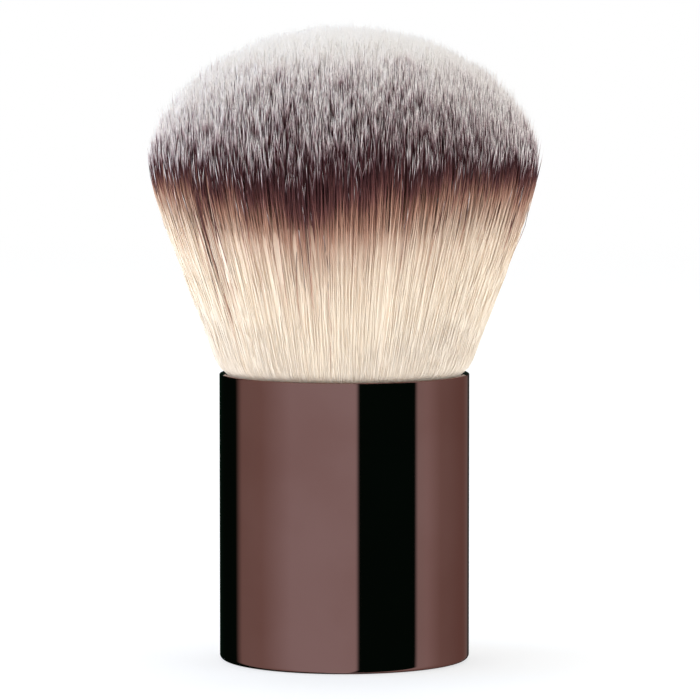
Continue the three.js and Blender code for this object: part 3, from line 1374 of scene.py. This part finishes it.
    def build_dome(self) -> None:
        """Makes the tips of the bristles further in, from inside the core up."""
        chosen = self.field.share <= self.outer_share
        for number, rows in self.sectors(chosen, self.dome_sectors):
            foot = self.field.shape.tip_height(self.field.share[rows, None]) - self.tip_length
            height = foot + np.array(self.dome_rings) * (self.field.tip[rows, None] - foot)
            dome = self.bristles(f"bristle_dome_{number}", rows, height, self.dome_sides)
            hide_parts("bristle_head")
            self.bend_upper(dome)

    def build(self) -> None:
        """Makes the core and the three kinds of bristles."""
        self.build_core()
        self.build_shafts()
        self.build_band()
        self.build_dome()


# The near black of the gaps between the tent's panels.
GAP: Colour = (0.004, 0.015, 0.010)


@dataclass(frozen=True)
class TentPanel:
    """The tent's colour at one bearing, in degrees from the camera towards +X."""

    bearing: float
    colour: Colour


def stand(made: bpy.types.Object, place: Sequence[float], aim: Sequence[float]) -> None:
    """Stands a lamp or a camera in the scene.

    Args:
        made: The lamp or the camera, which looks along its own -Z.
        place: Where it stands.
        aim: The point that it faces.
    """
    made.location = place
    made.rotation_euler = (Vector(aim) - Vector(place)).to_track_quat("-Z", "Y").to_euler()
    bpy.context.scene.collection.objects.link(made)


@dataclass(frozen=True)
class Lamp:
    """A square soft lamp, unseen by the camera and by mirrored rays, with its power in watts."""

    name: str
    place: tuple[float, float, float]
    side: float
    power: float
    tint: Colour

    def hang(self, aim: Sequence[float]) -> None:
        """Hangs the lamp.

        Args:
            aim: The point that it faces.
        """
        light = bpy.data.lights.new(self.name, "AREA")
        light.size = self.side
        light.energy = self.power
        light.color = self.tint
        lamp = bpy.data.objects.new(self.name, light)
        lamp.visible_glossy = False
        lamp.visible_camera = False
        stand(lamp, self.place, aim)


@dataclass(frozen=True)
class Studio:
    """A pale floor, a round light tent with dark gaps that the metal mirrors, soft lamps and a camera."""

    floor_size: float = 6.0
    floor_drop: float = 0.05 * MM
    floor_grey: float = 0.90
    floor_glow: float = 0.62
    shadow_reach: float = 0.1
    white_reach: float = 1.0
    fill_strength: float = 0.60
    tent_radius: float = 2.0
    tent_top: float = 3.0
    tent_foot: float = -12.0
    tent_segments: int = 64
    camera_distance: float = 650.0 * MM
    camera_height: float = 90.0 * MM
    camera_side: float = 0.72 * MM
    camera_clip: Range = (0.05, 50.0)
    aim_height: float = 39.65 * MM
    lens: float = 261.9
    sensor: float = 36.0
    lamps: tuple[Lamp, ...] = (
        Lamp("key_lamp", (-1.0, -0.65, 0.3), 0.8, 8.1, (0.99, 1.01, 1.04)),
        Lamp("left_lamp", (-1.0, 0.1, 0.3), 0.8, 6.6, (0.68, 1.02, 1.5)),
        Lamp("right_lamp", (1.0, -0.45, 0.2), 0.8, 9.6, (0.89, 1.02, 1.13)),
        Lamp("top_lamp", (0.0, 0.3, 1.2), 0.7, 8.0, (1.0, 0.99, 0.96)),
        Lamp("front_lamp", (0.15, -1.3, 0.2), 0.5, 0.5, (1.0, 0.98, 0.94)),
    )
    panels: tuple[TentPanel, ...] = (
        TentPanel(-180.0, GAP),
        TentPanel(-119.0, GAP),
        TentPanel(-109.0, (0.52, 0.45, 0.41)),
        TentPanel(-82.0, (0.56, 0.48, 0.44)),
        TentPanel(-50.0, (0.80, 0.81, 0.82)),
        TentPanel(10.5, (0.82, 0.84, 0.85)),
        TentPanel(13.5, GAP),
        TentPanel(67.5, GAP),
        TentPanel(71.5, (0.70, 0.70, 0.68)),
        TentPanel(82.0, (0.72, 0.68, 0.66)),
        TentPanel(100.0, (0.52, 0.44, 0.40)),
        TentPanel(142.0, (0.42, 0.36, 0.33)),
        TentPanel(154.0, (0.42, 0.38, 0.36)),
        TentPanel(163.0, (0.06, 0.06, 0.06)),
        TentPanel(180.0, GAP),
    )

    def floor(self) -> None:
        """Lays the floor: pale and shadowed near the brush, and fading to the white background far off."""
        half = self.floor_size / 2
        square = np.array([[-half, -half], [half, -half], [half, half], [-half, half]])
        corners = np.column_stack([square, np.full(4, -self.floor_drop)])
        material, sheet = NodeSheet.of_material("pale_floor")
        x, y, _ = sheet.parts(sheet.place())
        far = (x * x + y * y).ease(self.shadow_reach**2, self.white_reach**2)
        seen = sheet.value("ShaderNodeLightPath", {}, {}, "Is Camera Ray")
        share = seen * (self.floor_glow + (1.0 - self.floor_glow) * far)
        pale = sheet.node("ShaderNodeBsdfDiffuse", {}, {"Color": grey(self.floor_grey)})
        white = sheet.node("ShaderNodeEmission", {}, {"Color": grey(1.0), "Strength": 1.0})
        mixed = sheet.node("ShaderNodeMixShader", {}, {0: share, 1: pale.outputs[0], 2: white.outputs[0]})
        sheet.node("ShaderNodeOutputMaterial", {}, {"Surface": mixed.outputs[0]})
        ground = put_mesh("floor", corners, [np.arange(4)[None]], material)
        ground.visible_glossy = False

    def tent(self) -> None:
        """Stands the round tent, which only mirrored rays see: two rings joined by upright panels."""
        segments = self.tent_segments
        turn = np.linspace(0.0, 2 * np.pi, segments, endpoint=False)
        circle = np.stack([np.cos(turn), np.sin(turn)], axis=1) * self.tent_radius
        low = np.column_stack([circle, np.full(segments, self.tent_foot)])
        high = np.column_stack([circle, np.full(segments, self.tent_top)])
        here = np.arange(segments)
        after = (here + 1) % segments
        quads = np.stack([after, here, here + segments, after + segments], axis=1)
        material, sheet = NodeSheet.of_material("tent_panels")
        x, y, _ = sheet.parts(sheet.place())
        bearing = x.angle(0.0 - y) / (2 * math.pi) + 0.5
        stops = [(panel.bearing / 360.0 + 0.5, panel.colour) for panel in self.panels]
        glow = sheet.node("ShaderNodeValToRGB", {"stops": stops}, {0: bearing})
        lit = sheet.node("ShaderNodeEmission", {}, {"Color": glow.outputs[0], "Strength": 1.0})
        sheet.node("ShaderNodeOutputMaterial", {}, {"Surface": lit.outputs[0]})
        wall = put_mesh("light_tent", np.concatenate([low, high]), [quads], material)
        wall.visible_camera = False
        wall.visible_diffuse = False
        wall.visible_transmission = False
        wall.visible_shadow = False

    def world(self) -> None:
        """Sets the background: white where it is seen, and a plain fill light elsewhere."""
        world = bpy.data.worlds.new("studio")
        world.use_nodes = True
        sheet = NodeSheet(world.node_tree)
        path = sheet.node("ShaderNodeLightPath", {}, {})
        camera = Value(sheet, path.outputs["Is Camera Ray"])
        seen = camera.larger(path.outputs["Is Glossy Ray"]).larger(path.outputs["Is Transmission Ray"])
        fill = sheet.node("ShaderNodeBackground", {}, {0: grey(1.0), 1: self.fill_strength})
        white = sheet.node("ShaderNodeBackground", {}, {0: grey(1.0), 1: 1.0})
        mixed = sheet.node("ShaderNodeMixShader", {}, {0: seen, 1: fill.outputs[0], 2: white.outputs[0]})
        sheet.node("ShaderNodeOutputWorld", {}, {"Surface": mixed.outputs[0]})
        bpy.context.scene.world = world

    def camera(self) -> None:
        """Stands the camera where the photograph was taken from."""
        lens = bpy.data.cameras.new("camera")
        lens.lens = self.lens
        lens.sensor_width = self.sensor
        lens.clip_start, lens.clip_end = self.camera_clip
        camera = bpy.data.objects.new("camera", lens)
        place = (self.camera_side, -self.camera_distance, self.camera_height)
        stand(camera, place, (self.camera_side, 0.0, self.aim_height))
        bpy.context.scene.camera = camera

    def build(self) -> None:
        """Sets the whole stage."""
        bpy.context.scene.view_settings.view_transform = "Standard"
        self.floor()
        self.tent()
        self.world()
        for lamp in self.lamps:
            lamp.hang((0.0, 0.0, self.aim_height))
        self.camera()


def main() -> None:
    """Builds the brush and its stage."""
    logging.basicConfig(level=logging.INFO, format="%(name)s: %(message)s")
    Studio().build()
    Handle().build()
    InnerPieces().dress()
    BristleBundle(BristleField(BundleShape.from_frame())).build()
    bpy.context.view_layer.update()


if __name__ == "__main__":
    main()
